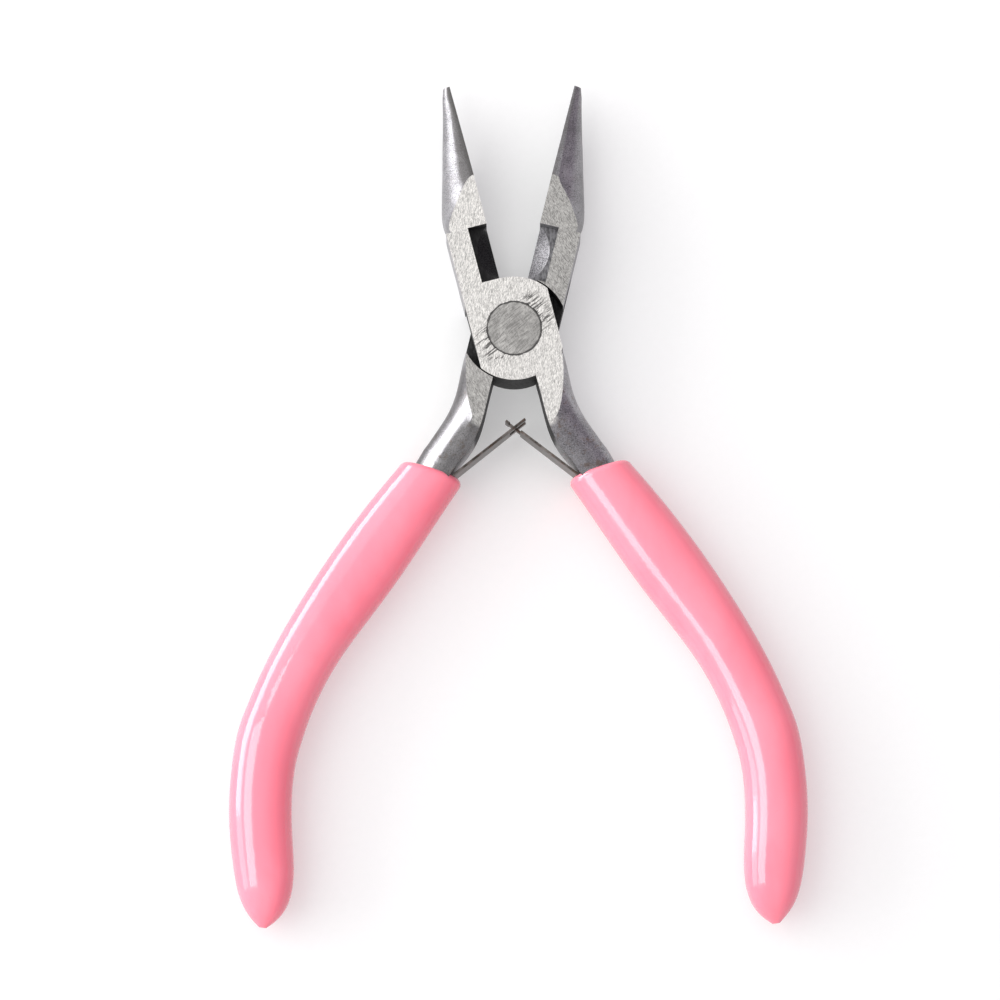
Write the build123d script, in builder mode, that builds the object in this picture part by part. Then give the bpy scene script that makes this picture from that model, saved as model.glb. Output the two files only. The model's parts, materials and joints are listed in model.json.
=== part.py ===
from build123d import *
import os
from math import cos, pi, sin

os.makedirs("parts", exist_ok=True)

# Small needle-nose pliers with side cutters, lying flat and held open by two leaf springs.
#
# Frame: the pivot axis is Z and its lower end, on the face the tool rests on, is the origin.
# +Y runs to the jaw tips, +Z out of the face that shows the front half.
#
# Both halves come from one forging. It is described closed and on its mid plane, with the
# jaw on the +X side of the centre line and the handle on the -X side. The rear half is
# that shape, the front half is the same shape turned half a turn about Y.

# ---- Pose ----------------------------------------------------------------------------
JOINT_THICKNESS = 8.5       # both ground faces of the joint; the tool rests on one of them
REST_SWING = 14.0           # degrees from closed at which the relaxed springs hold a half
HALF_THICKNESS = JOINT_THICKNESS / 2

# ---- Lap joint -----------------------------------------------------------------------
BAR_HALF_WIDTH = 6.0        # the joint's ground bar, either side of the centre line
BOSS_RADIUS = 7.45          # round ends of the lap plate
STEP_RADIUS = 7.65          # round step that clears the other half's boss
LAP_GAP = 0.06              # between the two lap faces
STEP_CUT_REACH = 12.0       # how far the step's cutter stands out of the face
TRIM_BLOCK = (80, 240)      # plan of the block that trims the forging to its ground thickness

# ---- Pivot rivet ---------------------------------------------------------------------
RIVET_RADIUS = 3.0
RIVET_HEAD_RADIUS = 3.8     # where the peened head comes out flush in the face
RIVET_HEAD_DEPTH = 1.0
RIVET_FIXED_CLEARANCE = 0.01
RIVET_RUNNING_CLEARANCE = 0.04

# ---- Jaw -----------------------------------------------------------------------------
GRIP_PLANE = 0.03           # the gripping face stands this far from the centre line
JAW_ROOT_LENGTH = 15.6      # from the pivot to where the nose starts to round off
NOSE_POWER = 2.0            # super-ellipse power of the nose's half-round sections
SECTION_STEPS = 12
# distance from the pivot, width and half thickness of the half-round nose
NOSE_SECTIONS = [
    (13.4, 5.99, 18.0),
    (16.6, 5.92, 9.40),
    (19.3, 5.71, 5.55),
    (23.0, 4.72, 4.24),
    (26.3, 3.84, 3.48),
    (29.6, 2.95, 2.74),
    (32.9, 2.07, 1.97),
    (36.9, 1.00, 1.00),
]

# ---- Side cutter ---------------------------------------------------------------------
CUTTER_NEAR = 7.5           # the pocket's two ends, from the pivot
CUTTER_FAR = 15.65
CUTTER_DEPTH = 2.8          # pocket width, from the gripping face
BLADE_HALF_THICKNESS = 1.8  # blade left between the pockets of the two faces
EDGE_SETBACK = 0.06         # cutting edge, from the centre line
BEVEL_BULGE = 2.3           # greatest width of the ground bevel, on the blade's face
EDGE_BULGE = 0.07           # and at the cutting edge

# ---- Handle --------------------------------------------------------------------------
NECK_INNER = 1.3            # inner side of the neck, from the centre line
ARM_POWER = 2.5             # super-ellipse power of the neck's and the tang's sections
# inner edge and outer edge (distance out from the centre line, and along it), half thickness
NECK_SECTIONS = [
    ((NECK_INNER, -1.4), (6.00, -1.4), 12.5),
    ((NECK_INNER, -4.8), (6.00, -4.8), 9.30),
    ((NECK_INNER, -8.2), (6.00, -8.2), 6.10),
    ((NECK_INNER, -11.6), (6.05, -11.6), 4.72),
    ((1.42, -15.0), (6.62, -14.3), 4.15),
    ((2.15, -18.0), (7.40, -16.5), 3.85),
    ((3.60, -21.5), (8.55, -19.4), 3.65),
]
TANG_SECTIONS = [
    NECK_SECTIONS[-1],
    ((5.15, -25.3), (9.75, -23.4), 3.20),
    ((9.5, -36.3), (13.9, -34.5), 2.80),
    ((14.95, -50.1), (19.35, -48.7), 2.70),
    ((17.45, -61.6), (21.85, -61.2), 2.60),
    ((16.95, -73.1), (21.15, -73.7), 2.50),
    ((14.95, -81.6), (18.65, -82.8), 2.30),
]

# ---- Dipped grip ---------------------------------------------------------------------
# centre (out from the centre line, and along it), width across the handle, thickness
GRIP_SECTIONS = [
    ((5.6, -20.2), 8.7, 8.30),
    ((7.35, -24.4), 8.9, 8.38),
    ((9.45, -29.4), 9.5, 8.38),
    ((11.85, -35.4), 9.9, 8.38),
    ((14.6, -42.4), 9.7, 8.38),
    ((17.15, -49.4), 9.1, 8.38),
    ((18.8, -55.4), 8.9, 8.38),
    ((19.8, -61.4), 9.0, 8.38),
    ((20.05, -67.4), 9.0, 8.38),
    ((19.2, -73.4), 8.9, 8.38),
    ((17.55, -79.4), 8.8, 8.40),
    ((15.9, -84.4), 8.2, 7.80),
    ((15.1, -87.6), 6.5, 6.20),
    ((14.75, -89.7), 3.7, 3.50),
    ((14.6, -90.9), 1.0, 1.00),
]
GRIP_POWER = 2.3
GRIP_STEPS = 24
GRIP_MOUTH = ((1.85, -22.5), (10.85, -21.8))   # the mouth's two ends
GRIP_MOUTH_RADIUS = 0.9
GRIP_FIT = 0.03             # the sleeve's cavity is larger than the handle by this

# ---- Leaf springs --------------------------------------------------------------------
SPRING_HINGE = (2.75, -21.3)    # where the blade starts to bend, out and along
SPRING_LEAN = 37.9              # degrees between the relaxed blade and its half
SPRING_SHEET = 0.35
SPRING_ROOT_WIDTH = 5.2
SPRING_TIP_WIDTH = 4.2
SPRING_LENGTH = 11.8
SPRING_NARROW_START = 8.9       # the fork's slot and the tongue start here
FORK_SLOT_WIDTH = 1.7
TONGUE_WIDTH = 1.3
TONGUE_HEAD_START = 10.95
TONGUE_HEAD_WIDTH = 3.0
TONGUE_LENGTH = 11.6
HINGE_SPLIT = 0.21              # from the hinge line back to the end of the clamped root
SPRING_STEM = 1.95              # from the hinge line back to where the strip meets the handle
SPRING_FOOT_LEAN = 22.0         # degrees, along the handle's inner side
SPRING_FOOT_LENGTH = 6.0
SEAT_LEAD = 0.4                 # the seat starts this far above the foot
SEAT_LENGTH = 7.0
SEAT_DEPTH = 1.5
SPRING_RIVET_AT = 3.6           # along the foot
SPRING_RIVET_RADIUS = 0.75
SPRING_RIVET_HEAD_RADIUS = 1.25
SPRING_RIVET_HEAD_HEIGHT = 0.5
SPRING_RIVET_LENGTH = 2.6
FIT = 0.01                      # of a riveted piece in its hole
SLOT_FIT = 0.05                 # of the strip in the sleeve


# ---- Where things are placed ---------------------------------------------------------
REAR_PLACE = Location((0, 0, HALF_THICKNESS), (0, 0, -REST_SWING))
FRONT_PLACE = Location((0, 0, HALF_THICKNESS), (0, 180, -REST_SWING))

# The spring strip runs up the handle (foot), leaves it (stem) and turns into the blade.
hinge_point = Vector(-SPRING_HINGE[0], SPRING_HINGE[1])
blade_way = Vector(0, 1).rotate(Axis.Z, -SPRING_LEAN)
foot_way = Vector(0, -1).rotate(Axis.Z, -SPRING_FOOT_LEAN)
foot_start = hinge_point - blade_way * SPRING_STEM
blade_plane = Plane(hinge_point, x_dir=blade_way, z_dir=blade_way.cross(Vector(0, 0, 1)))
rivet_plane = Plane(
    foot_start + foot_way * SPRING_RIVET_AT,
    x_dir=foot_way,
    z_dir=Vector(0, 0, 1).cross(foot_way) * -1,
)


def spring_root_outline(grow=0.0):
    """Edge-on outline of the clamped strip, from the hinge split to the end of its foot."""
    half_sheet = SPRING_SHEET / 2 + grow
    stem_side = blade_way.rotate(Axis.Z, 90)
    foot_side = foot_way.rotate(Axis.Z, -90)
    bend_side = (stem_side + foot_side).normalized()
    bend_side = bend_side / bend_side.dot(foot_side)
    top = hinge_point - blade_way * (HINGE_SPLIT - grow)
    end = foot_start + foot_way * (SPRING_FOOT_LENGTH + grow)
    with BuildSketch() as outline:
        with BuildLine():
            Polyline(
                top + stem_side * half_sheet,
                foot_start + bend_side * half_sheet,
                end + foot_side * half_sheet,
                end - foot_side * half_sheet,
                foot_start - bend_side * half_sheet,
                top - stem_side * half_sheet,
                close=True,
            )
        make_face()
    return outline.sketch


def half_superellipse(width, half_height, power):
    """Points of a half-round section, from its lower inner corner round to its upper one."""
    points = []
    for step in range(SECTION_STEPS + 1):
        turn = pi * step / SECTION_STEPS - pi / 2
        across = width * max(cos(turn), 0.0) ** (2 / power)
        up = half_height * abs(sin(turn)) ** (2 / power)
        points.append((across, up if turn > 0 else -up))
    return points


def half_round_section(plane, width, half_height, power, grow=0.0):
    """One forged section: flat towards the other half, rounded outwards."""
    outline = half_superellipse(width + 2 * grow, half_height + grow, power)
    outline = [(across - grow, up) for across, up in outline]
    with BuildSketch(plane) as section:
        with BuildLine():
            round_side = Spline(*outline, tangents=[(1, 0), (-1, 0)])
            Line(round_side @ 1, round_side @ 0)
        make_face()
    return section.sketch


def full_superellipse(width, height):
    """Points of a sleeve's section."""
    points = []
    for step in range(GRIP_STEPS):
        turn = 2 * pi * step / GRIP_STEPS
        across = abs(cos(turn)) ** (2 / GRIP_POWER) * width / 2
        up = abs(sin(turn)) ** (2 / GRIP_POWER) * height / 2
        points.append((across if cos(turn) > 0 else -across, up if sin(turn) > 0 else -up))
    return points


def handle_plane(inner, outer):
    """Upright plane through two points of the handle, its X pointing outwards."""
    start = Vector(-inner[0], inner[1], 0)
    across = (Vector(-outer[0], outer[1], 0) - start).normalized()
    return Plane(origin=start, x_dir=across, z_dir=across.cross(Vector(0, 0, 1)))


def make_nose():
    """Half-round nose, ground flat where it is thicker than the joint."""
    with BuildPart() as nose:
        for along, width, half_height in NOSE_SECTIONS:
            plane = Plane(origin=(GRIP_PLANE, along, 0), x_dir=(1, 0, 0), z_dir=(0, -1, 0))
            add(half_round_section(plane, width - GRIP_PLANE, half_height, NOSE_POWER))
        loft()
        Box(*TRIM_BLOCK, JOINT_THICKNESS, mode=Mode.INTERSECT)
    return nose.part


def make_arm(grow=0.0):
    """Neck and handle tang, ground flat where they are thicker than the joint."""
    with BuildPart() as arm:
        for sections, straight in ((NECK_SECTIONS, False), (TANG_SECTIONS, True)):
            for inner, outer, half_height in sections:
                width = (Vector(*outer) - Vector(*inner)).length
                plane = handle_plane(inner, outer)
                add(half_round_section(plane, width, half_height, ARM_POWER, grow))
            loft(ruled=straight)
        Box(*TRIM_BLOCK, JOINT_THICKNESS + 2 * grow, mode=Mode.INTERSECT)
    return arm.part


def make_half(rivet_clearance):
    """The whole forging of one half, closed, with its lap plate below the mid plane."""
    with BuildPart() as half:
        with BuildSketch(Plane.XY.offset(-HALF_THICKNESS)):
            Circle(BOSS_RADIUS)
            Rectangle(2 * BAR_HALF_WIDTH, 2 * BOSS_RADIUS, mode=Mode.INTERSECT)
        extrude(amount=JOINT_THICKNESS)
        with BuildSketch(Plane.XY.offset(-HALF_THICKNESS)):
            with Locations((GRIP_PLANE, 0)):
                jaw_width = BAR_HALF_WIDTH - GRIP_PLANE
                Rectangle(jaw_width, JAW_ROOT_LENGTH, align=(Align.MIN, Align.MIN))
        extrude(amount=JOINT_THICKNESS)
        add(make_nose())
        add(make_arm())

        # the lap: everything over the plate is milled away round the pivot
        with BuildSketch(Plane.XY.offset(-LAP_GAP / 2)):
            Circle(STEP_RADIUS)
        extrude(amount=STEP_CUT_REACH, mode=Mode.SUBTRACT)

        # rivet hole, countersunk in the outer face
        with BuildSketch(Plane.XZ):
            with BuildLine():
                Polyline(
                    (0, -HALF_THICKNESS),
                    (RIVET_HEAD_RADIUS + rivet_clearance, -HALF_THICKNESS),
                    (RIVET_RADIUS + rivet_clearance, RIVET_HEAD_DEPTH - HALF_THICKNESS),
                    (RIVET_RADIUS + rivet_clearance, HALF_THICKNESS),
                    (0, HALF_THICKNESS),
                    close=True,
                )
            make_face()
        revolve(axis=Axis.Z, mode=Mode.SUBTRACT)

        # seat for the spring's foot on the handle's inner side, and the hole for its rivet
        seat = Plane(
            foot_start - foot_way * SEAT_LEAD,
            x_dir=foot_way,
            z_dir=rivet_plane.z_dir,
        )
        with BuildSketch(seat.offset(SPRING_SHEET / 2 + FIT)):
            Rectangle(
                SEAT_LENGTH,
                SPRING_ROOT_WIDTH + 2 * SLOT_FIT,
                align=(Align.MIN, Align.CENTER),
            )
        extrude(amount=-SEAT_DEPTH, mode=Mode.SUBTRACT)
        with BuildSketch(rivet_plane):
            Circle(SPRING_RIVET_RADIUS + FIT)
        extrude(amount=SPRING_RIVET_LENGTH, mode=Mode.SUBTRACT)

        # cutter pocket and the bevel ground from its floor to the cutting edge, on both faces
        for face in (1, -1):
            floor = Plane.XY.offset(face * BLADE_HALF_THICKNESS)
            with BuildSketch(floor):
                with Locations((-CUTTER_DEPTH, CUTTER_NEAR)):
                    Rectangle(
                        2 * CUTTER_DEPTH,
                        CUTTER_FAR - CUTTER_NEAR,
                        align=(Align.MIN, Align.MIN),
                    )
            extrude(amount=face * STEP_CUT_REACH, mode=Mode.SUBTRACT)
            for plane, bulge in ((Plane.XY, EDGE_BULGE), (floor, BEVEL_BULGE)):
                with BuildSketch(plane):
                    with BuildLine():
                        ThreePointArc(
                            (EDGE_SETBACK, CUTTER_NEAR),
                            (bulge, (CUTTER_NEAR + CUTTER_FAR) / 2),
                            (EDGE_SETBACK, CUTTER_FAR),
                        )
                        Polyline(
                            (EDGE_SETBACK, CUTTER_FAR),
                            (-CUTTER_DEPTH, CUTTER_FAR),
                            (-CUTTER_DEPTH, CUTTER_NEAR),
                            (EDGE_SETBACK, CUTTER_NEAR),
                        )
                    make_face()
            loft(ruled=True, mode=Mode.SUBTRACT)
    return half.part


def make_grip():
    """Dipped sleeve over a handle, open at the mouth and closed round the handle's end."""
    middle = Edge.make_spline([Vector(-out, along) for (out, along), _, _ in GRIP_SECTIONS])
    with BuildPart() as grip:
        for (out, along), width, thickness in GRIP_SECTIONS:
            place = Vector(-out, along)
            way = middle.tangent_at(middle.param_at_point(place))
            plane = Plane(origin=place, x_dir=way.cross(Vector(0, 0, 1)), z_dir=way)
            with BuildSketch(plane):
                with BuildLine():
                    Spline(*full_superellipse(width, thickness), periodic=True)
                make_face()
        loft()
        inner, outer = [Vector(-out, along) for out, along in GRIP_MOUTH]
        mouth = Plane(origin=inner, x_dir=(0, 0, 1), z_dir=(inner - outer).cross(Vector(0, 0, 1)))
        split(bisect_by=mouth, keep=Keep.TOP)
        fillet(grip.faces().sort_by(Axis.Y)[-1].edges(), GRIP_MOUTH_RADIUS)
        add(make_arm(grow=GRIP_FIT), mode=Mode.SUBTRACT)
        with BuildSketch(Plane.XY.offset(-SPRING_ROOT_WIDTH / 2 - SLOT_FIT)):
            add(spring_root_outline(SLOT_FIT))
        extrude(amount=SPRING_ROOT_WIDTH + 2 * SLOT_FIT, mode=Mode.SUBTRACT)
        with BuildSketch(rivet_plane.offset(SPRING_SHEET / 2)):
            Circle(SPRING_RIVET_HEAD_RADIUS + SLOT_FIT)
        extrude(
            amount=-SPRING_SHEET - SPRING_RIVET_HEAD_HEIGHT - SLOT_FIT - FIT,
            mode=Mode.SUBTRACT,
        )
    return grip.part


def make_spring_root():
    """Clamped end of a leaf spring: the foot riveted to the handle and the stem up from it."""
    with BuildPart() as root:
        with BuildSketch(Plane.XY.offset(-SPRING_ROOT_WIDTH / 2)):
            add(spring_root_outline())
        extrude(amount=SPRING_ROOT_WIDTH)
        with BuildSketch(rivet_plane.offset(-SPRING_SHEET)):
            Circle(SPRING_RIVET_RADIUS + FIT)
        extrude(amount=2 * SPRING_SHEET, mode=Mode.SUBTRACT)
    return root.part


def make_spring_rivet():
    """Round-headed rivet through a spring's foot into its handle."""
    axis_way = rivet_plane.z_dir
    half_plane = Plane(rivet_plane.origin, x_dir=foot_way, z_dir=foot_way.cross(axis_way))
    under_head = -SPRING_SHEET / 2 - FIT
    head_top = under_head - SPRING_RIVET_HEAD_HEIGHT
    with BuildPart() as rivet:
        with BuildSketch(half_plane):
            with BuildLine():
                dome = TangentArc(
                    (0, head_top),
                    (SPRING_RIVET_HEAD_RADIUS, under_head),
                    tangent=(1, 0),
                )
                Polyline(
                    dome @ 1,
                    (SPRING_RIVET_RADIUS, under_head),
                    (SPRING_RIVET_RADIUS, SPRING_RIVET_LENGTH),
                    (0, SPRING_RIVET_LENGTH),
                    dome @ 0,
                )
            make_face()
        revolve(axis=Axis(rivet_plane.origin, axis_way))
    return rivet.part


def make_leaf(forked):
    """Free blade of a leaf spring, with a fork or the tongue that passes through it."""
    def half_width(along):
        taper = (SPRING_TIP_WIDTH - SPRING_ROOT_WIDTH) / SPRING_LENGTH
        return (SPRING_ROOT_WIDTH + taper * along) / 2

    end = SPRING_LENGTH if forked else SPRING_NARROW_START
    with BuildPart() as leaf:
        with BuildSketch(blade_plane.offset(-SPRING_SHEET / 2)):
            with BuildLine():
                Polyline(
                    (0, -half_width(0)),
                    (end, -half_width(end)),
                    (end, half_width(end)),
                    (0, half_width(0)),
                    close=True,
                )
            make_face()
            if forked:
                with Locations((SPRING_NARROW_START, 0)):
                    Rectangle(
                        SPRING_LENGTH,
                        FORK_SLOT_WIDTH,
                        align=(Align.MIN, Align.CENTER),
                        mode=Mode.SUBTRACT,
                    )
            else:
                Rectangle(TONGUE_LENGTH, TONGUE_WIDTH, align=(Align.MIN, Align.CENTER))
                with Locations((TONGUE_HEAD_START, 0)):
                    Rectangle(
                        TONGUE_LENGTH - TONGUE_HEAD_START,
                        TONGUE_HEAD_WIDTH,
                        align=(Align.MIN, Align.CENTER),
                    )
        extrude(amount=SPRING_SHEET)
        # the blade's end is round where it turns
        with BuildSketch(Plane.XY.offset(-SPRING_ROOT_WIDTH / 2)):
            with Locations(hinge_point):
                Circle(SPRING_SHEET / 2)
        extrude(amount=SPRING_ROOT_WIDTH)
    return leaf.part


with BuildPart() as rear_half:
    with Locations(REAR_PLACE):
        add(make_half(RIVET_FIXED_CLEARANCE))

with BuildPart() as front_half:
    with Locations(FRONT_PLACE):
        add(make_half(RIVET_RUNNING_CLEARANCE))

with BuildPart() as pivot_rivet:
    with BuildSketch(Plane.XZ):
        with BuildLine():
            Polyline(
                (0, 0),
                (RIVET_HEAD_RADIUS, 0),
                (RIVET_RADIUS, RIVET_HEAD_DEPTH),
                (RIVET_RADIUS, JOINT_THICKNESS - RIVET_HEAD_DEPTH),
                (RIVET_HEAD_RADIUS, JOINT_THICKNESS),
                (0, JOINT_THICKNESS),
                close=True,
            )
        make_face()
    revolve(axis=Axis.Z)

with BuildPart() as left_grip:
    with Locations(REAR_PLACE):
        add(make_grip())

with BuildPart() as right_grip:
    with Locations(FRONT_PLACE):
        add(make_grip())

with BuildPart() as left_spring_root:
    with Locations(REAR_PLACE):
        add(make_spring_root())

with BuildPart() as right_spring_root:
    with Locations(FRONT_PLACE):
        add(make_spring_root())

with BuildPart() as left_spring_leaf:
    with Locations(REAR_PLACE):
        add(make_leaf(forked=True))

with BuildPart() as right_spring_leaf:
    with Locations(FRONT_PLACE):
        add(make_leaf(forked=False))

with BuildPart() as left_spring_rivet:
    with Locations(REAR_PLACE):
        add(make_spring_rivet())

with BuildPart() as right_spring_rivet:
    with Locations(FRONT_PLACE):
        add(make_spring_rivet())

rear_half.part.label = "rear_half"
front_half.part.label = "front_half"
pivot_rivet.part.label = "pivot_rivet"
left_grip.part.label = "left_grip"
right_grip.part.label = "right_grip"
left_spring_root.part.label = "left_spring_root"
right_spring_root.part.label = "right_spring_root"
left_spring_leaf.part.label = "left_spring_leaf"
right_spring_leaf.part.label = "right_spring_leaf"
left_spring_rivet.part.label = "left_spring_rivet"
right_spring_rivet.part.label = "right_spring_rivet"

export_step(rear_half.part, "parts/rear_half.step")
export_step(front_half.part, "parts/front_half.step")
export_step(pivot_rivet.part, "parts/pivot_rivet.step")
export_step(left_grip.part, "parts/left_grip.step")
export_step(right_grip.part, "parts/right_grip.step")
export_step(left_spring_root.part, "parts/left_spring_root.step")
export_step(right_spring_root.part, "parts/right_spring_root.step")
export_step(left_spring_leaf.part, "parts/left_spring_leaf.step")
export_step(right_spring_leaf.part, "parts/right_spring_leaf.step")
export_step(left_spring_rivet.part, "parts/left_spring_rivet.step")
export_step(right_spring_rivet.part, "parts/right_spring_rivet.step")
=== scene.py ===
import json
import math
from types import SimpleNamespace

import bmesh
import bpy
from mathutils import Matrix, Vector


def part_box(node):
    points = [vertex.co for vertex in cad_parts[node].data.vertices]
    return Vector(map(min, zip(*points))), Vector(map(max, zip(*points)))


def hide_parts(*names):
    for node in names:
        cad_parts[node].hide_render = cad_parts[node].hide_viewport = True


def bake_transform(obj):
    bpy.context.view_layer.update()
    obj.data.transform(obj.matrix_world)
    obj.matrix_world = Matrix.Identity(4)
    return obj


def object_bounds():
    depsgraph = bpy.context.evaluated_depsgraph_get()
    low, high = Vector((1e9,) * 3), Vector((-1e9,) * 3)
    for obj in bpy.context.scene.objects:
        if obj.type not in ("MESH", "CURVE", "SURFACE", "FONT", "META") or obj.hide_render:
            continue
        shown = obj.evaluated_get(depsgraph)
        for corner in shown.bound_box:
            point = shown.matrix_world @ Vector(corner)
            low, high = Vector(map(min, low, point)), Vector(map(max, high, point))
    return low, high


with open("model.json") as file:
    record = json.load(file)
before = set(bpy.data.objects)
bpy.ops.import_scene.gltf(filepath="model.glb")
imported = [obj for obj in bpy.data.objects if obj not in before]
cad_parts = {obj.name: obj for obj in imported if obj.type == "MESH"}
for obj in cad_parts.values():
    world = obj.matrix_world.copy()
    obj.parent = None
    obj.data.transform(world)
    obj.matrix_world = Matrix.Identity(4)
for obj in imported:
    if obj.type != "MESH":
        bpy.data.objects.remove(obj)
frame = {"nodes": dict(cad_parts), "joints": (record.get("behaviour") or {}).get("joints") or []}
cad_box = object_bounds()

MM = 0.001
joints = {joint["name"]: joint for joint in frame["joints"]}
PIVOT = Vector(joints["jaw_pivot"]["pos_m"])
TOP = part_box("pivot_rivet")[1].z
REST_SWING = math.radians(14)           # of each half, from closed to rest


# ---- Node trees -------------------------------------------------------------------
class Nodes:
    """A material and short calls that add nodes to it."""

    def __init__(self, name):
        self.material = bpy.data.materials.new(name)
        self.material.use_nodes = True
        self.tree = self.material.node_tree
        self.tree.nodes.clear()

    def add(self, kind, inputs, **settings):
        node = self.tree.nodes.new(kind)
        for key, value in settings.items():
            setattr(node, key, value)
        for key, value in inputs.items():
            if isinstance(value, bpy.types.NodeSocket):
                self.tree.links.new(value, node.inputs[key])
            else:
                node.inputs[key].default_value = value
        return node

    def math(self, operation, a, b=0.0):
        return self.add("ShaderNodeMath", {0: a, 1: b}, operation=operation).outputs[0]

    def vector(self, operation, a, b=(0.0, 0.0, 0.0)):
        return self.add("ShaderNodeVectorMath", {0: a, 1: b}, operation=operation).outputs[0]

    def times(self, *values):
        product = values[0]
        for value in values[1:]:
            product = self.math("MULTIPLY", product, value)
        return product

    def ramp(self, value, start, end, low=0.0, high=1.0):
        inputs = {"Value": value, "From Min": start, "From Max": end, "To Min": low, "To Max": high}
        node = self.add("ShaderNodeMapRange", inputs, interpolation_type="SMOOTHSTEP")
        return node.outputs["Result"]

    def mix(self, factor, a, b):
        node = self.add("ShaderNodeMix", {0: factor, 6: a, 7: b}, data_type="RGBA")
        return node.outputs[2]

    def noise(self, place, scale, detail=2.0, roughness=0.5, distortion=0.0):
        inputs = {
            "Vector": place,
            "Scale": scale,
            "Detail": detail,
            "Roughness": roughness,
            "Distortion": distortion,
        }
        return self.add("ShaderNodeTexNoise", inputs).outputs[0]

    def stretched(self, place, turn, across, along):
        """place turned about Z and scaled apart, for strokes that run along one direction."""
        turned = self.add(
            "ShaderNodeVectorRotate", {"Vector": place, "Angle": turn}, rotation_type="Z_AXIS"
        ).outputs[0]
        return self.vector("MULTIPLY", turned, (across, along, across))

    def mix_value(self, factor, a, b):
        return self.add("ShaderNodeMix", {0: factor, 2: a, 3: b}).outputs[0]

    def weighted(self, *pairs):
        """Sum of values, each times its share."""
        total = None
        for value, share in pairs:
            part = self.math("MULTIPLY", value, share)
            total = part if total is None else self.math("ADD", total, part)
        return total

    def split(self, vector):
        node = self.add("ShaderNodeSeparateXYZ", {"Vector": vector})
        return [node.outputs[i] for i in range(3)]

    def length(self, place):
        return self.add("ShaderNodeVectorMath", {0: place}, operation="LENGTH").outputs["Value"]

    def bump(self, height, distance, strength):
        inputs = {"Height": height, "Distance": distance, "Strength": strength}
        return self.add("ShaderNodeBump", inputs).outputs[0]

    def finish(self, **inputs):
        named = {key.replace("_", " "): value for key, value in inputs.items()}
        shader = self.add("ShaderNodeBsdfPrincipled", named)
        self.add("ShaderNodeOutputMaterial", {"Surface": shader.outputs[0]})
        return self.material


def tint(value, red=0.0, blue=0.0):
    """A grey with a little more or less red and blue."""
    return (value * (1 + red), value, value * (1 + blue), 1.0)


def warm(value):
    return tint(value, 0.02, -0.04)


def violet(value):
    return tint(value, 0.02, 0.05)


def place_mm(nodes):
    """Place on the object in millimetres from the middle of the joint."""
    metres = nodes.add("ShaderNodeTexCoord", {}).outputs["Object"]
    inputs = {0: metres, "Scale": 1 / MM}
    scaled = nodes.add("ShaderNodeVectorMath", inputs, operation="SCALE").outputs[0]
    return nodes.vector("SUBTRACT", scaled, tuple(PIVOT / MM))


# ---- Steel ------------------------------------------------------------------------
# Lengths in the materials are millimetres. x, y and z are those of a closed half with its
# lap plate down: x runs from the gripping face into the jaw, y from the joint to the tips
# and z up from the mid plane.
GROUND_FROM, GROUND_TO = 4.12, 4.22     # the ground faces begin between these heights
STEP_RADIUS = 7.65                      # of the round step in the lap
RIVET_HEAD_RADIUS = 3.8
POCKET_SIDE, POCKET_NEAR, POCKET_FAR = 2.84, 7.45, 15.7
EDGE_FADE = 0.02
DRESSING_TURN = math.radians(52)        # of the file strokes round the rivet
# colour of the painted shade on the forging's crests and sides
PAINTED_SHADE_STEEL = tint(0.065, 0.06, -0.04)
RUST = (0.21, 0.165, 0.14, 1.0)


def half_places(n, turned):
    """Where a point lies on its half and which way it faces, alike for both halves."""
    place = place_mm(n)
    flip = (-1.0, 1.0, -1.0) if turned else (1.0, 1.0, 1.0)
    closed = n.stretched(n.vector("MULTIPLY", place, flip), REST_SWING, 1.0, 1.0)
    x, y, z = n.split(closed)
    normal = n.split(n.add("ShaderNodeTexCoord", {}).outputs["Normal"])
    return SimpleNamespace(
        turned=turned,
        place=place,
        x=x,
        y=y,
        z=z,
        height=n.math("ABSOLUTE", z),
        radius=n.length(n.vector("MULTIPLY", closed, (1.0, 1.0, 0.0))),
        sideways=normal[0],
        facing=n.math("ABSOLUTE", normal[2]),
        on_nose=n.ramp(y, 10.0, 12.0),
        on_arm=n.ramp(y, -6.0, -8.0),
    )


def face_masks(n, at):
    """Masks of the ground flats, of the lap, step wall and hidden sides that get painted shade, of
    the cutter pocket and of the cutter's bevel.
    """
    flat = n.ramp(at.facing, 0.975, 0.995)
    steep = n.ramp(at.facing, 0.3, 0.1)
    inner = n.ramp(at.height, GROUND_TO, GROUND_FROM)
    ground = n.times(flat, n.ramp(at.height, GROUND_FROM, GROUND_TO))

    # the lap faces, the round step wall and the hidden sides get painted shade for the gaps of the
    # joint
    lap = n.times(flat, inner, n.ramp(at.radius, STEP_RADIUS + 0.25, STEP_RADIUS + 0.1))
    rim = n.times(steep, n.ramp(at.radius, STEP_RADIUS + 0.12, STEP_RADIUS + 0.04))
    hidden_side = n.times(
        steep, n.ramp(at.x, -1.9, -1.6), n.ramp(at.x, -0.9, -1.1), n.ramp(at.y, -6.0, -7.0)
    )
    if not at.turned:
        by_joint = n.ramp(n.math("ABSOLUTE", at.y), 10.5, 8.5)
        plate_side = n.times(steep, n.ramp(at.z, 0.3, 0.0), by_joint)
        hidden_side = n.math("MAXIMUM", hidden_side, plate_side)
    painted_shade_hollows = n.math("MAXIMUM", n.math("MAXIMUM", lap, rim), hidden_side)

    in_pocket = n.times(
        n.ramp(at.x, POCKET_SIDE + EDGE_FADE, POCKET_SIDE),
        n.ramp(at.x, -0.1, -EDGE_FADE),
        n.ramp(at.y, POCKET_NEAR, POCKET_NEAR + EDGE_FADE),
        n.ramp(at.y, POCKET_FAR + EDGE_FADE, POCKET_FAR),
        inner,
    )
    bevel = n.times(in_pocket, n.ramp(at.facing, 0.12, 0.3), n.ramp(at.facing, 0.97, 0.93))
    pocket = n.times(in_pocket, n.math("SUBTRACT", 1.0, bevel))
    return ground, painted_shade_hollows, pocket, bevel


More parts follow.
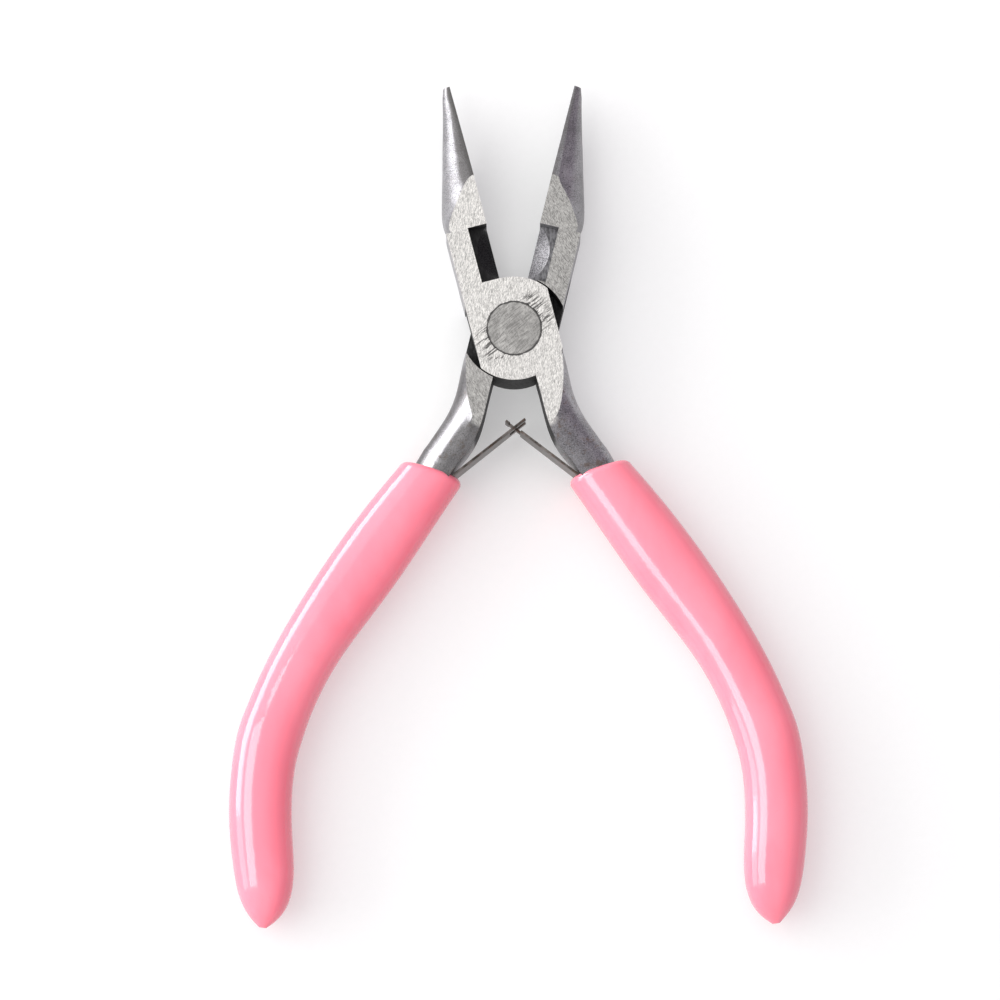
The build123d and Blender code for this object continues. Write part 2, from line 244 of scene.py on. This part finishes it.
def forging_colour(n, at, grain, nose_painted_shade, neck_painted_shade):
    """Fine blast-like grain with rust and pits, painted shade on the upward crests and on one side
    of the nose and arm, and a painted highlight on the rear half's arm shoulder.
    """
    tone = n.weighted((grain, 0.7), (n.noise(at.place, 0.28, 3.0, 0.6), 0.3))
    colour = n.mix(n.ramp(tone, 0.41, 0.60), violet(0.19), violet(0.44))
    rust = n.ramp(n.noise(at.place, 0.85, 6.0, 0.7), 0.52, 0.66)
    colour = n.mix(n.times(rust, n.ramp(at.y, 2.0, -17.0, 0.15, 0.9)), colour, RUST)
    pits = n.ramp(n.noise(at.place, 3.0, 2.0, 0.5), 0.36, 0.30)
    colour = n.mix(n.math("MULTIPLY", pits, 0.75), colour, violet(0.09))
    gripping_edge = n.times(n.ramp(at.x, 0.75, 0.45), n.ramp(at.y, 16.0, 18.0))
    colour = n.mix(n.math("MULTIPLY", gripping_edge, 0.45), colour, warm(0.14))

    # painted shade: the upward crests of the nose and arm are darkened, by an amount given per half
    nose_top_painted_shade = n.times(n.ramp(at.facing, 0.84, 0.92), at.on_nose, nose_painted_shade)
    arm_top_painted_shade = n.times(n.ramp(at.facing, 0.95, 0.975), at.on_arm, neck_painted_shade)
    dark = n.math("ADD", nose_top_painted_shade, arm_top_painted_shade)
    # on the rear half only, painted shade darkens one side of the arm and one side of the nose
    if not at.turned:
        arm_side_painted_shade = n.times(n.ramp(at.sideways, -0.45, -0.70), at.on_arm, 0.58)
        nose_side_painted_shade = n.times(n.ramp(at.sideways, 0.55, 0.85), at.on_nose, 0.28)
        dark = n.math("ADD", dark, n.math("ADD", arm_side_painted_shade, nose_side_painted_shade))
        # painted highlight: a pale band on the rear half's arm where the shoulder faces the light
        shoulder_painted_highlight = n.times(
            n.ramp(at.facing, 0.78, 0.86),
            n.ramp(at.facing, 0.97, 0.955),
            n.ramp(at.sideways, 0.0, -0.1),
            n.ramp(grain, 0.3, 0.55, 0.30, 0.66),
            at.on_arm,
        )
        colour = n.mix(shoulder_painted_highlight, colour, violet(0.75))
    return n.mix(dark, colour, PAINTED_SHADE_STEEL)


def grinding_strokes(n, place, turn):
    """Height of the short strokes that the grinder left on the flats."""
    coarse = n.noise(n.stretched(place, turn, 9.5, 1.8), 1.0, 4.0, 0.7, 0.5)
    fine = n.noise(n.stretched(place, turn, 22.0, 4.0), 1.0, 3.0, 0.65, 0.2)
    return n.weighted((coarse, 0.55), (fine, 0.45))


def file_marks(n, at):
    """Mask of the marks of the file that dressed the rivet, on two sides of it."""
    across = n.split(n.stretched(at.place, DRESSING_TURN, 1.0, 1.0))[0]
    marks = n.noise(n.stretched(at.place, DRESSING_TURN, 4.4, 0.55), 1.0, 2.0, 0.5)
    return n.times(
        n.ramp(at.radius, RIVET_HEAD_RADIUS - 0.05, RIVET_HEAD_RADIUS + 0.05),
        n.ramp(at.radius, RIVET_HEAD_RADIUS + 2.9, RIVET_HEAD_RADIUS + 1.2),
        n.ramp(n.math("ABSOLUTE", across), 3.4, 2.2),
        n.ramp(marks, 0.52, 0.58),
    )


def flats_colour(n, at, strokes, tones, turn, filed):
    """Pale ground steel with gouges, stains, file marks and the dark line round the rivet."""
    colour = n.mix(n.ramp(strokes, 0.42, 0.575), warm(tones[0]), warm(tones[1]))
    gouges = n.ramp(n.noise(n.stretched(at.place, turn, 5.0, 0.8), 1.0, 1.0, 0.5), 0.36, 0.31)
    colour = n.mix(n.math("MULTIPLY", gouges, 0.35), colour, warm(0.16))
    stain = n.ramp(n.noise(at.place, 0.42, 4.0, 0.6), 0.55, 0.75)
    colour = n.mix(n.math("MULTIPLY", stain, 0.22), colour, warm(0.30))
    colour = n.mix(n.math("MULTIPLY", filed, 0.85), colour, warm(0.07))
    ragged = n.math("MULTIPLY", n.noise(at.place, 1.5, 3.0), 0.42)
    ring = n.math("SUBTRACT", n.math("ADD", RIVET_HEAD_RADIUS, ragged), at.radius)
    return n.mix(n.math("MULTIPLY", n.ramp(ring, 0.0, 0.07), 0.9), colour, warm(0.04))


def forged_steel(name, turned, ground_tones_painted_light, stroke_turn, pocket_painted_light_tone, nose_painted_shade, neck_painted_shade):
    """Satin forging with surface-ground flats, a lap painted dark as shade and a cutter pocket."""
    n = Nodes(name)
    at = half_places(n, turned)
    ground, painted_shade_hollows, pocket, bevel = face_masks(n, at)
    grain = n.noise(at.place, 6.0, 5.0, 0.75)
    strokes = grinding_strokes(n, at.place, stroke_turn)
    filed = file_marks(n, at)

    forged = forging_colour(n, at, grain, nose_painted_shade, neck_painted_shade)
    flats = flats_colour(n, at, strokes, ground_tones_painted_light, stroke_turn, filed)
    # noise that streaks the painted shade of the lap and of the pocket floor
    scale = n.noise(n.stretched(at.place, 0.0, 2.6, 0.9), 1.0, 3.0, 0.6)
    lap_painted_shade_colour = n.mix(n.ramp(scale, 0.42, 0.66), tint(0.004), violet(0.03))
    streaks = n.ramp(scale, 0.38, 0.62)
    # painted shade on the pocket floor; the bevel is painted near-dark on the front half and pale
    # on the rear, for how light falls on each
    pocket_floor_painted_shade = n.mix(streaks, violet(pocket_painted_light_tone * 0.15), violet(pocket_painted_light_tone * 0.40))
    speckle = n.ramp(n.noise(at.place, 6.5, 3.0, 0.7), 0.43, 0.57)
    bevel_painted_light_and_shade = n.mix(speckle, violet(pocket_painted_light_tone * 0.35), violet(pocket_painted_light_tone))
    colour = n.mix(ground, forged, flats)
    colour = n.mix(pocket, colour, pocket_floor_painted_shade)
    colour = n.mix(bevel, colour, bevel_painted_light_and_shade)
    # painted shade over the lap, the step wall and the hidden sides
    colour = n.mix(painted_shade_hollows, colour, lap_painted_shade_colour)

    rough_forged = n.math("ADD", 0.26, n.math("MULTIPLY", grain, 0.20))
    rough_flat = n.math("ADD", 0.26, n.math("MULTIPLY", strokes, 0.26))
    hidden = n.math("MAXIMUM", painted_shade_hollows, pocket)
    rough = n.mix_value(ground, rough_forged, rough_flat)
    rough = n.mix_value(n.math("MAXIMUM", hidden, bevel), rough, 0.6)
    metal = n.mix_value(hidden, 1.0, 0.25)

    forged_relief = n.math("MULTIPLY", grain, 0.045)
    relief = n.mix_value(ground, forged_relief, n.math("MULTIPLY", strokes, 0.055))
    relief = n.math("SUBTRACT", relief, n.math("MULTIPLY", filed, 0.03))
    bumped = n.bump(relief, MM, 0.5)
    return n.finish(Base_Color=colour, Metallic=metal, Roughness=rough, Normal=bumped)


def rivet_steel():
    """Ground rivet head, scratched across."""
    n = Nodes("rivet_steel_worn")
    place = place_mm(n)
    stroke = n.noise(n.stretched(place, math.radians(50), 6.5, 0.8), 1.0, 4.0, 0.65, 0.4)
    cross = n.noise(n.stretched(place, math.radians(-25), 8.0, 1.3), 1.0, 3.0, 0.6, 0.3)
    cloud = n.noise(place, 0.42, 3.0, 0.6)
    strokes = n.weighted((stroke, 0.65), (cross, 0.35))
    colour = n.mix(n.ramp(strokes, 0.38, 0.60), warm(0.25), warm(0.54))
    colour = n.mix(n.ramp(cloud, 0.36, 0.66, 0.45, 0.0), colour, warm(0.18))
    radius = n.length(n.vector("MULTIPLY", place, (1, 1, 0)))
    edge = n.ramp(
        n.math("ADD", radius, n.math("MULTIPLY", n.noise(place, 1.6), 0.3)),
        RIVET_HEAD_RADIUS - 0.02,
        RIVET_HEAD_RADIUS + 0.14,
    )
    colour = n.mix(n.math("MULTIPLY", edge, 0.75), colour, warm(0.05))
    rough = n.math("ADD", 0.34, n.math("MULTIPLY", strokes, 0.2))
    bumped = n.bump(strokes, 0.045 * MM, 0.5)
    return n.finish(Base_Color=colour, Metallic=1.0, Roughness=rough, Normal=bumped)


def spring_steel():
    """Brown tempered strip, rolled along its length."""
    n = Nodes("spring_steel_rolled")
    place = place_mm(n)
    rolled = n.noise(n.vector("MULTIPLY", place, (0.5, 0.5, 7.0)), 1.0, 3.0, 0.6)
    spots = n.noise(place, 1.1, 3.0, 0.55)
    colour = n.mix(n.ramp(rolled, 0.35, 0.65), tint(0.05, 0.14, -0.10), tint(0.18, 0.12, -0.06))
    colour = n.mix(n.ramp(spots, 0.45, 0.66, 0.0, 0.7), colour, (0.10, 0.065, 0.05, 1.0))
    rough = n.math("ADD", 0.24, n.math("MULTIPLY", rolled, 0.18))
    bumped = n.bump(rolled, 0.02 * MM, 0.5)
    return n.finish(Base_Color=colour, Metallic=1.0, Roughness=rough, Normal=bumped)


CORAL = (0.86, 0.197, 0.262, 1.0)
PALE_CORAL = (0.88, 0.230, 0.297, 1.0)
DUSKY_CORAL = (0.70, 0.19, 0.25, 1.0)


def dipped_plastic():
    """Glossy coral-pink dip with a faint swirl and fine orange peel."""
    n = Nodes("dipped_plastic_gloss")
    place = place_mm(n)
    swirl = n.noise(n.stretched(place, 0.0, 0.10, 0.05), 1.0, 3.0, 0.55, 0.4)
    specks = n.ramp(n.noise(place, 1.7, 1.0, 0.4), 0.235, 0.215)
    colour = n.mix(n.ramp(swirl, 0.35, 0.65), CORAL, PALE_CORAL)
    colour = n.mix(n.math("MULTIPLY", specks, 0.35), colour, DUSKY_CORAL)
    peel = n.noise(place, 0.55, 2.0, 0.5)
    waves = n.noise(n.stretched(place, 0.0, 0.16, 0.07), 1.0, 1.0, 0.4)
    relief = n.weighted((peel, 0.010), (waves, 0.12))
    bumped = n.bump(relief, MM, 0.5)
    rough = n.ramp(n.noise(place, 0.5, 3.0), 0.3, 0.7, 0.06, 0.11)
    return n.finish(
        Base_Color=colour,
        Roughness=rough,
        IOR=1.5,
        Specular_IOR_Level=0.5,
        Subsurface_Weight=0.12,
        Subsurface_Radius=(1.0, 0.35, 0.25),
        Subsurface_Scale=1.5 * MM,
        Normal=bumped,
    )


def use_material(obj, material):
    if obj.material_slots:
        for entry in obj.material_slots:
            entry.material = material
    else:
        obj.data.materials.append(material)


# both halves are the same steel; their flat tones, pocket tones and crest darkening differ as
# painted light and shade for how the light falls on each
front_metal = forged_steel(
    "forged_steel_front_painted_light",
    turned=True,
    ground_tones_painted_light=(0.43, 0.92),
    stroke_turn=math.radians(8),
    pocket_painted_light_tone=0.06,
    nose_painted_shade=0.78,
    neck_painted_shade=0.25,
)
rear_metal = forged_steel(
    "forged_steel_rear_painted_light",
    turned=False,
    ground_tones_painted_light=(0.22, 0.55),
    stroke_turn=math.radians(-28),
    pocket_painted_light_tone=0.62,
    nose_painted_shade=0.05,
    neck_painted_shade=0.70,
)
rivet_metal = rivet_steel()
strip_metal = spring_steel()
pink = dipped_plastic()
for node, material in {
    "front_half": front_metal,
    "rear_half": rear_metal,
    "pivot_rivet": rivet_metal,
    "left_spring_rivet": rivet_metal,
    "right_spring_rivet": rivet_metal,
    "left_grip": pink,
    "right_grip": pink,
}.items():
    use_material(frame["nodes"][node], material)


# ---- Leaf springs -----------------------------------------------------------------
# The strips are cut from one sheet. Lengths run from the hinge along the blade.
SHEET = 0.35 * MM
STRIP_STEM = 1.95 * MM                  # from the hinge back to the bend's corner
STRIP_BEND_RADIUS = 2.5 * MM
FOOT_LENGTH = 6.0 * MM
STRIP_WIDTH, STRIP_TIP_WIDTH = 5.2 * MM, 4.2 * MM
STRIP_NARROW, STRIP_END = 8.9 * MM, 11.8 * MM
FORK_SLOT = 1.7 * MM
TONGUE_WIDTH, HEAD_WIDTH = 1.3 * MM, 3.0 * MM
TONGUE_MIDDLE, TONGUE_HEAD_START, TONGUE_END = 9.9 * MM, 10.95 * MM, 11.6 * MM
EDGE_ROUND = 0.06 * MM
FLEX_ROWS_UNTIL, FLEX_ROW, STRAIGHT_ROW = 4 * MM, 0.35 * MM, 0.8 * MM
SHORTEST_ROW = 0.2 * MM
FOOT_ROWS, BEND_ROWS = 6, 6
SLACK = 0.01 * MM


def far_end(node, start):
    """Middle of the corners of a node that are furthest from start, seen along the pivot."""
    points = [vertex.co.copy() for vertex in frame["nodes"][node].data.vertices]
    for point in points:
        point.z = start.z
    reach = max((point - start).length for point in points)
    found = [point for point in points if (point - start).length > reach - SHEET]
    low, high = (pick(found, key=lambda p: (p.x, p.y)) for pick in (min, max))
    return (low + high) / 2


def strip_stations(hinge, way, foot_way):
    """(distance from the hinge, point, tangent) from the end of the foot to the blade's end."""
    corner = hinge - way * STRIP_STEM
    half_turn = foot_way.angle(way) / 2
    cut = STRIP_BEND_RADIUS / math.tan(half_turn)
    centre = corner + (way + foot_way).normalized() * STRIP_BEND_RADIUS / math.sin(half_turn)
    stations = []
    for step in range(FOOT_ROWS + 1):
        along = FOOT_LENGTH + (cut - FOOT_LENGTH) * step / FOOT_ROWS
        stations.append((-STRIP_STEM - along, corner + foot_way * along, -foot_way))
    first = corner + foot_way * cut - centre
    last = corner - centre + way * cut
    turn = first.angle(last) * (1 if first.cross(last).z > 0 else -1)
    for step in range(1, BEND_ROWS):
        rotation = Matrix.Rotation(turn * step / BEND_ROWS, 3, "Z")
        stations.append((-STRIP_STEM, centre + rotation @ first, rotation @ -foot_way))
    along_blade = []
    distance = cut - STRIP_STEM
    while distance < STRIP_NARROW - SHORTEST_ROW:
        along_blade.append(distance)
        distance += FLEX_ROW if distance < FLEX_ROWS_UNTIL else STRAIGHT_ROW
    along_blade += [STRIP_NARROW, TONGUE_MIDDLE, TONGUE_HEAD_START, TONGUE_END, STRIP_END]
    return stations + [(distance, hinge + way * distance, way) for distance in along_blade]


def cut_lines(distance, forked):
    """Z of the lines along the strip that its edges and its slot or tongue follow."""
    taper = (STRIP_TIP_WIDTH - STRIP_WIDTH) / STRIP_END
    edge = (STRIP_WIDTH + taper * max(distance, 0.0)) / 2
    half = [FORK_SLOT / 2, edge] if forked else [TONGUE_WIDTH / 2, HEAD_WIDTH / 2, edge]
    return [-z for z in reversed(half)] + half


def steel_columns(distance, forked):
    """The columns between the cut lines that are steel from this distance on."""
    if distance < STRIP_NARROW - SLACK:
        return range(3 if forked else 5)
    if forked:
        return (0, 2)
    if distance < TONGUE_HEAD_START - SLACK:
        return (2,)
    return (1, 2, 3)


def build_strip(made, stations, forked):
    """The faces of both sides and of the cut edges, between the stations' rows of corners."""
    known = {}

    def filled(row, column):
        in_rows = 0 <= row < len(stations) - 1
        return in_rows and column in steel_columns(stations[row][0], forked)

    def corner(row, line, face):
        if (row, line, face) not in known:
            distance, point, tangent = stations[row]
            normal = Vector((-tangent.y, tangent.x, 0)) * SHEET / 2 * face
            at = point + normal + Vector((0, 0, cut_lines(distance, forked)[line]))
            known[row, line, face] = made.verts.new(at)
        return known[row, line, face]

    for row in range(len(stations) - 1):
        for column in steel_columns(stations[row][0], forked):
            around = ((row, column), (row + 1, column), (row + 1, column + 1), (row, column + 1))
            for face in (1, -1):
                made.faces.new([corner(*place, face) for place in around[::face]])
            beyond = ((row, column - 1), (row + 1, column), (row, column + 1), (row - 1, column))
            for index, neighbour in enumerate(beyond):
                if filled(*neighbour):
                    continue
                a, b = around[index], around[(index + 1) % 4]
                made.faces.new([corner(*a, 1), corner(*a, -1), corner(*b, -1), corner(*b, 1)])


def leaf_strip(name, hinge, way, foot_way, forked):
    """One spring strip with the outline of its fork or tongue, bent from a flat sheet."""
    stations = strip_stations(hinge, way, foot_way)
    if not forked:
        stations = stations[:-1]
    made = bmesh.new()
    build_strip(made, stations, forked)
    bmesh.ops.recalc_face_normals(made, faces=made.faces)
    sharp = [e for e in made.edges if len(e.link_faces) == 2 and e.calc_face_angle() > 1.0]
    bmesh.ops.bevel(
        made, geom=sharp, offset=EDGE_ROUND, segments=2, affect="EDGES", profile=0.6
    )
    for face in made.faces:
        face.smooth = True
    mesh = bpy.data.meshes.new(name)
    made.to_mesh(mesh)
    made.free()
    mesh.set_sharp_from_angle(angle=math.radians(40))
    strip = bpy.data.objects.new(name, mesh)
    bpy.context.scene.collection.objects.link(strip)
    use_material(strip, strip_metal)
    return strip


for side, body, forked in (("left", "rear_half", True), ("right", "front_half", False)):
    hinge = Vector(joints[side + "_spring_flex"]["pos_m"])
    way = (far_end(side + "_spring_leaf", hinge) - hinge).normalized()
    foot_end = far_end(side + "_spring_root", hinge)
    foot_way = (foot_end - (hinge - way * STRIP_STEM)).normalized()
    strip = leaf_strip(side + "_leaf_spring", hinge, way, foot_way, forked)
    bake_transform(strip)
    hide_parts(side + "_spring_root", side + "_spring_leaf")


# ---- Floor, light and camera ------------------------------------------------------
def floor_material():
    n = Nodes("paper_white")
    coordinates = n.add("ShaderNodeTexCoord", {})
    fibre = n.noise(coordinates.outputs["Object"], 900.0, 3.0, 0.6)
    colour = n.mix(fibre, (0.60, 0.60, 0.60, 1.0), (0.63, 0.63, 0.63, 1.0))
    return n.finish(
        Base_Color=colour,
        Roughness=0.9,
        Specular_IOR_Level=0.1,
        Emission_Color=(1.0, 1.0, 1.0, 1.0),
        Emission_Strength=0.34,
    )


bpy.ops.mesh.primitive_plane_add(size=6.0, location=(0, 0, cad_box[0].z - 0.02 * MM))
floor = bpy.context.object
floor.name = "floor"
use_material(floor, floor_material())


def studio_world():
    """White room that falls off to a dim grey towards +X."""
    world = bpy.data.worlds.new("studio")
    world.use_nodes = True
    nodes, links = world.node_tree.nodes, world.node_tree.links
    direction = nodes.new("ShaderNodeTexCoord")
    split = nodes.new("ShaderNodeSeparateXYZ")
    fall = nodes.new("ShaderNodeMapRange")
    fall.interpolation_type = "SMOOTHSTEP"
    fall.inputs["From Min"].default_value = -0.1
    fall.inputs["From Max"].default_value = 0.85
    sides = nodes.new("ShaderNodeMix")
    sides.data_type = "RGBA"
    sides.inputs[6].default_value = (1.0, 1.0, 1.0, 1.0)
    sides.inputs[7].default_value = (0.46, 0.40, 0.46, 1.0)
    links.new(direction.outputs["Generated"], split.inputs[0])
    links.new(split.outputs[0], fall.inputs["Value"])
    links.new(fall.outputs["Result"], sides.inputs[0])
    links.new(sides.outputs[2], nodes["Background"].inputs["Color"])
    return world


bpy.context.scene.world = studio_world()
CENTRE = (cad_box[0] + cad_box[1]) / 2


def soft_box(name, tilt, heading, distance, size, radiance):
    """An area light on the object: degrees from vertical, degrees from +X to +Y, metres."""
    tilt, heading = math.radians(tilt), math.radians(heading)
    level = Vector((math.cos(heading), math.sin(heading), 0))
    way = level * math.sin(tilt) + Vector((0, 0, math.cos(tilt)))
    light = bpy.data.lights.new(name, "AREA")
    light.shape = "RECTANGLE"
    light.size, light.size_y = size
    light.energy = radiance * math.pi * size[0] * size[1]
    obj = bpy.data.objects.new(name, light)
    bpy.context.scene.collection.objects.link(obj)
    obj.location = CENTRE + way * distance
    side = Vector((0, 1, 0)).cross(way).normalized()
    rise = way.cross(side)
    obj.matrix_world = Matrix(
        (
            (side.x, rise.x, way.x, obj.location.x),
            (side.y, rise.y, way.y, obj.location.y),
            (side.z, rise.z, way.z, obj.location.z),
            (0, 0, 0, 1),
        )
    )
    return obj


soft_box("key", 42, 165, 0.8, (0.70, 1.1), 1.0)
soft_box("low_panel", 75, 164, 0.9, (0.45, 1.2), 3.6)

# the grips alone get a brighter strip, and mirror a panel low on the left
grips = bpy.data.collections.new("grips")
for grip in ("left_grip", "right_grip"):
    grips.objects.link(frame["nodes"][grip])
strip_light = soft_box("strip", 36, 184, 0.7, (0.34, 0.46), 5.6)
rim_light = soft_box("rim_panel", 80, 150, 0.9, (0.42, 0.9), 6.0)
rim_light.visible_diffuse = False
for light in (strip_light, rim_light):
    light.light_linking.receiver_collection = grips

scene = bpy.context.scene
scene.view_settings.view_transform = "Standard"

CAMERA_TILT = math.radians(8.5)
CAMERA_DISTANCE = 0.9
CAMERA_ROLL = math.radians(0.48)
FRAME_WIDTH = 142.1 * MM
AIM_LEFT, AIM_DOWN = 2.018 * MM, 24.44 * MM     # of the picture's middle, from the joint
SENSOR = 36.0
camera_data = bpy.data.cameras.new("camera")
camera_data.sensor_width = SENSOR
camera_data.lens = SENSOR * CAMERA_DISTANCE / FRAME_WIDTH
camera = bpy.data.objects.new("camera", camera_data)
scene.collection.objects.link(camera)
scene.camera = camera
back = Vector((0, -math.sin(CAMERA_TILT), math.cos(CAMERA_TILT)))
level_right = Vector((1, 0, 0))
level_up = back.cross(level_right)
up = level_up * math.cos(CAMERA_ROLL) + level_right * math.sin(CAMERA_ROLL)
right = up.cross(back)
joint_top = Vector((PIVOT.x, PIVOT.y, TOP))
aim = joint_top - right * AIM_LEFT - up * AIM_DOWN
eye = aim + back * CAMERA_DISTANCE
camera.matrix_world = Matrix(
    (
        (right.x, up.x, back.x, eye.x),
        (right.y, up.y, back.y, eye.y),
        (right.z, up.z, back.z, eye.z),
        (0, 0, 0, 1),
    )
)
